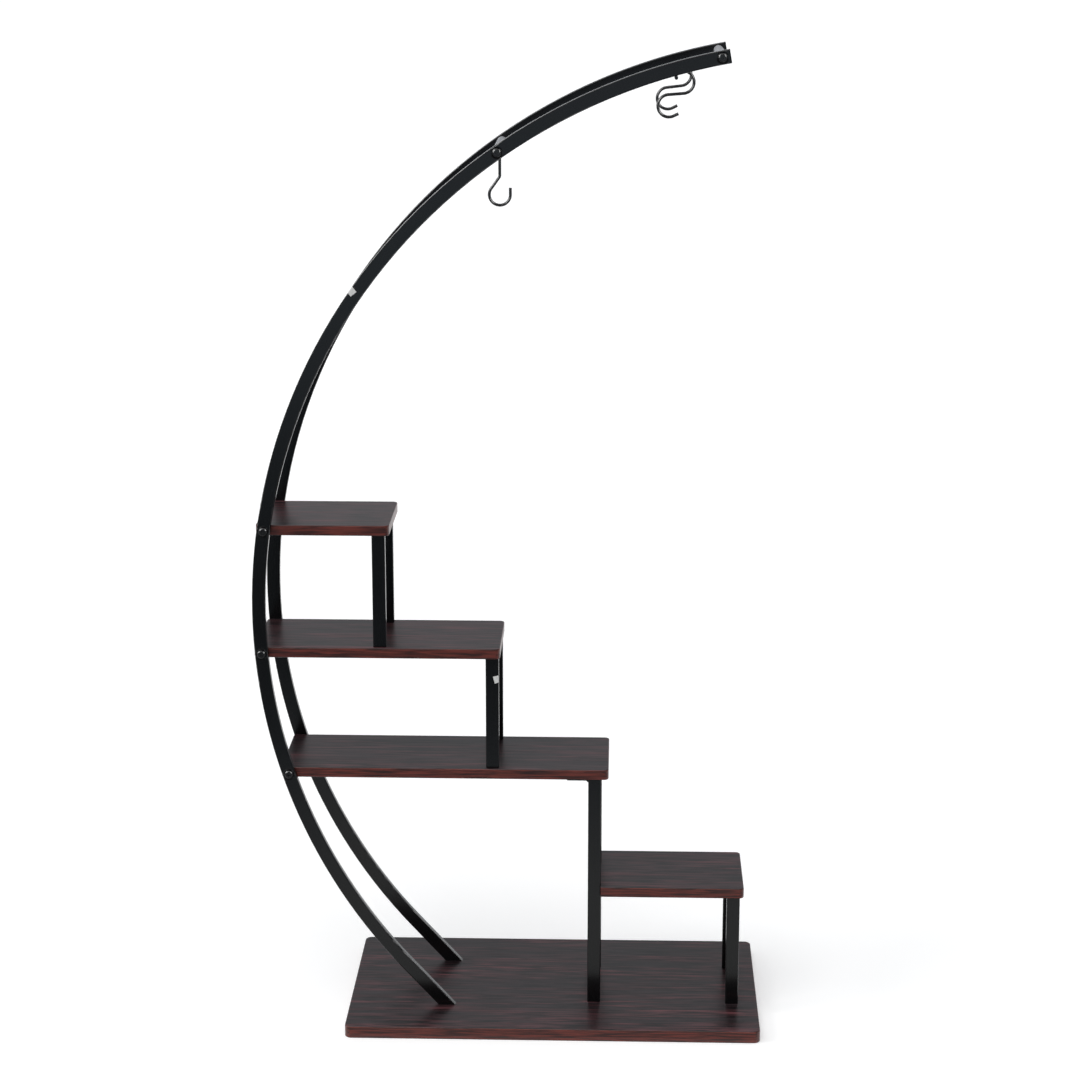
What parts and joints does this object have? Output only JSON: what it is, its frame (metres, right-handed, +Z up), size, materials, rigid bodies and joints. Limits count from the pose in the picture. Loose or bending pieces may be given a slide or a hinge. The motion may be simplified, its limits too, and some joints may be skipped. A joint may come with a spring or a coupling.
{
  "type": "tiered plant stand",
  "caption": "Half-moon plant stand: stepped dark wood shelves carried between curved black steel arms and short posts on a base board, with hooks for hanging pots.",
  "frame": {"origin": "middle of the base board's underside, on the floor", "axes": "+Z up; +X to the right as pictured, from the arms' bulge towards the side shelf; +Y from the front arm to the back arm"},
  "size_m": [0.7287, 0.33, 1.4038],
  "materials": {
    "dark_wood": "dark red-brown wood grain, satin",
    "black_coat": "black powder coat, satin",
    "black_bolts": "black oxide",
    "black_wire": "black coated wire",
    "bare_steel": "plain grey steel",
    "zinc_steel": "zinc plated",
    "black_plastic": "moulded, matt"
  },
  "bodies": {
    "stand": {"arm_bolts": "black_bolts", "arm_end_cap_back": "black_plastic", "arm_end_cap_front": "black_plastic", "arm_foot_plug_back": "zinc_steel", "arm_foot_plug_front": "zinc_steel", "arm_lower_back": "black_coat", "arm_lower_front": "black_coat", "arm_splice_back": "zinc_steel", "arm_splice_front": "zinc_steel", "arm_upper_back": "black_coat", "arm_upper_front": "black_coat", "base_board": "dark_wood", "base_bolts": "black_bolts", "hook_bar": "black_coat", "post_foot_plugs": "zinc_steel", "post_second_back": "black_coat", "post_second_front": "black_coat", "post_short_back": "black_coat", "post_short_front": "black_coat", "post_tall_back": "black_coat", "post_tall_front": "black_coat", "post_top_back": "black_coat", "post_top_front": "black_coat", "shelf_inserts": "zinc_steel", "shelf_post_bolts": "black_bolts", "shelf_second": "dark_wood", "shelf_side": "dark_wood", "shelf_third": "dark_wood", "shelf_top": "dark_wood", "side_shelf_screws": "zinc_steel", "spacer_bolts": "black_bolts", "spacer_middle": "bare_steel", "spacer_tip": "bare_steel", "tab_screws": "zinc_steel"},
    "long_hook": {"hook_long": "black_wire"},
    "front_s_hook": {"hook_s_front": "black_wire"},
    "back_s_hook": {"hook_s_back": "black_wire"}
  },
  "joints": [
    {"name": "long_hook_swivel", "type": "hinge", "parent": "stand", "child": "long_hook", "pos_m": [-0.07801, 0, 1.26507], "axis": [0, 0, 1], "range_deg": [-180, 180]},
    {"name": "front_s_hook_swing", "type": "hinge", "parent": "stand", "child": "front_s_hook", "pos_m": [0.16363, -0.068, 1.36558], "axis": [0, 1, 0], "range_deg": [-45, 45]},
    {"name": "back_s_hook_swing", "type": "hinge", "parent": "stand", "child": "back_s_hook", "pos_m": [0.16363, 0.068, 1.36558], "axis": [0, 1, 0], "range_deg": [-45, 45]}
  ]
}
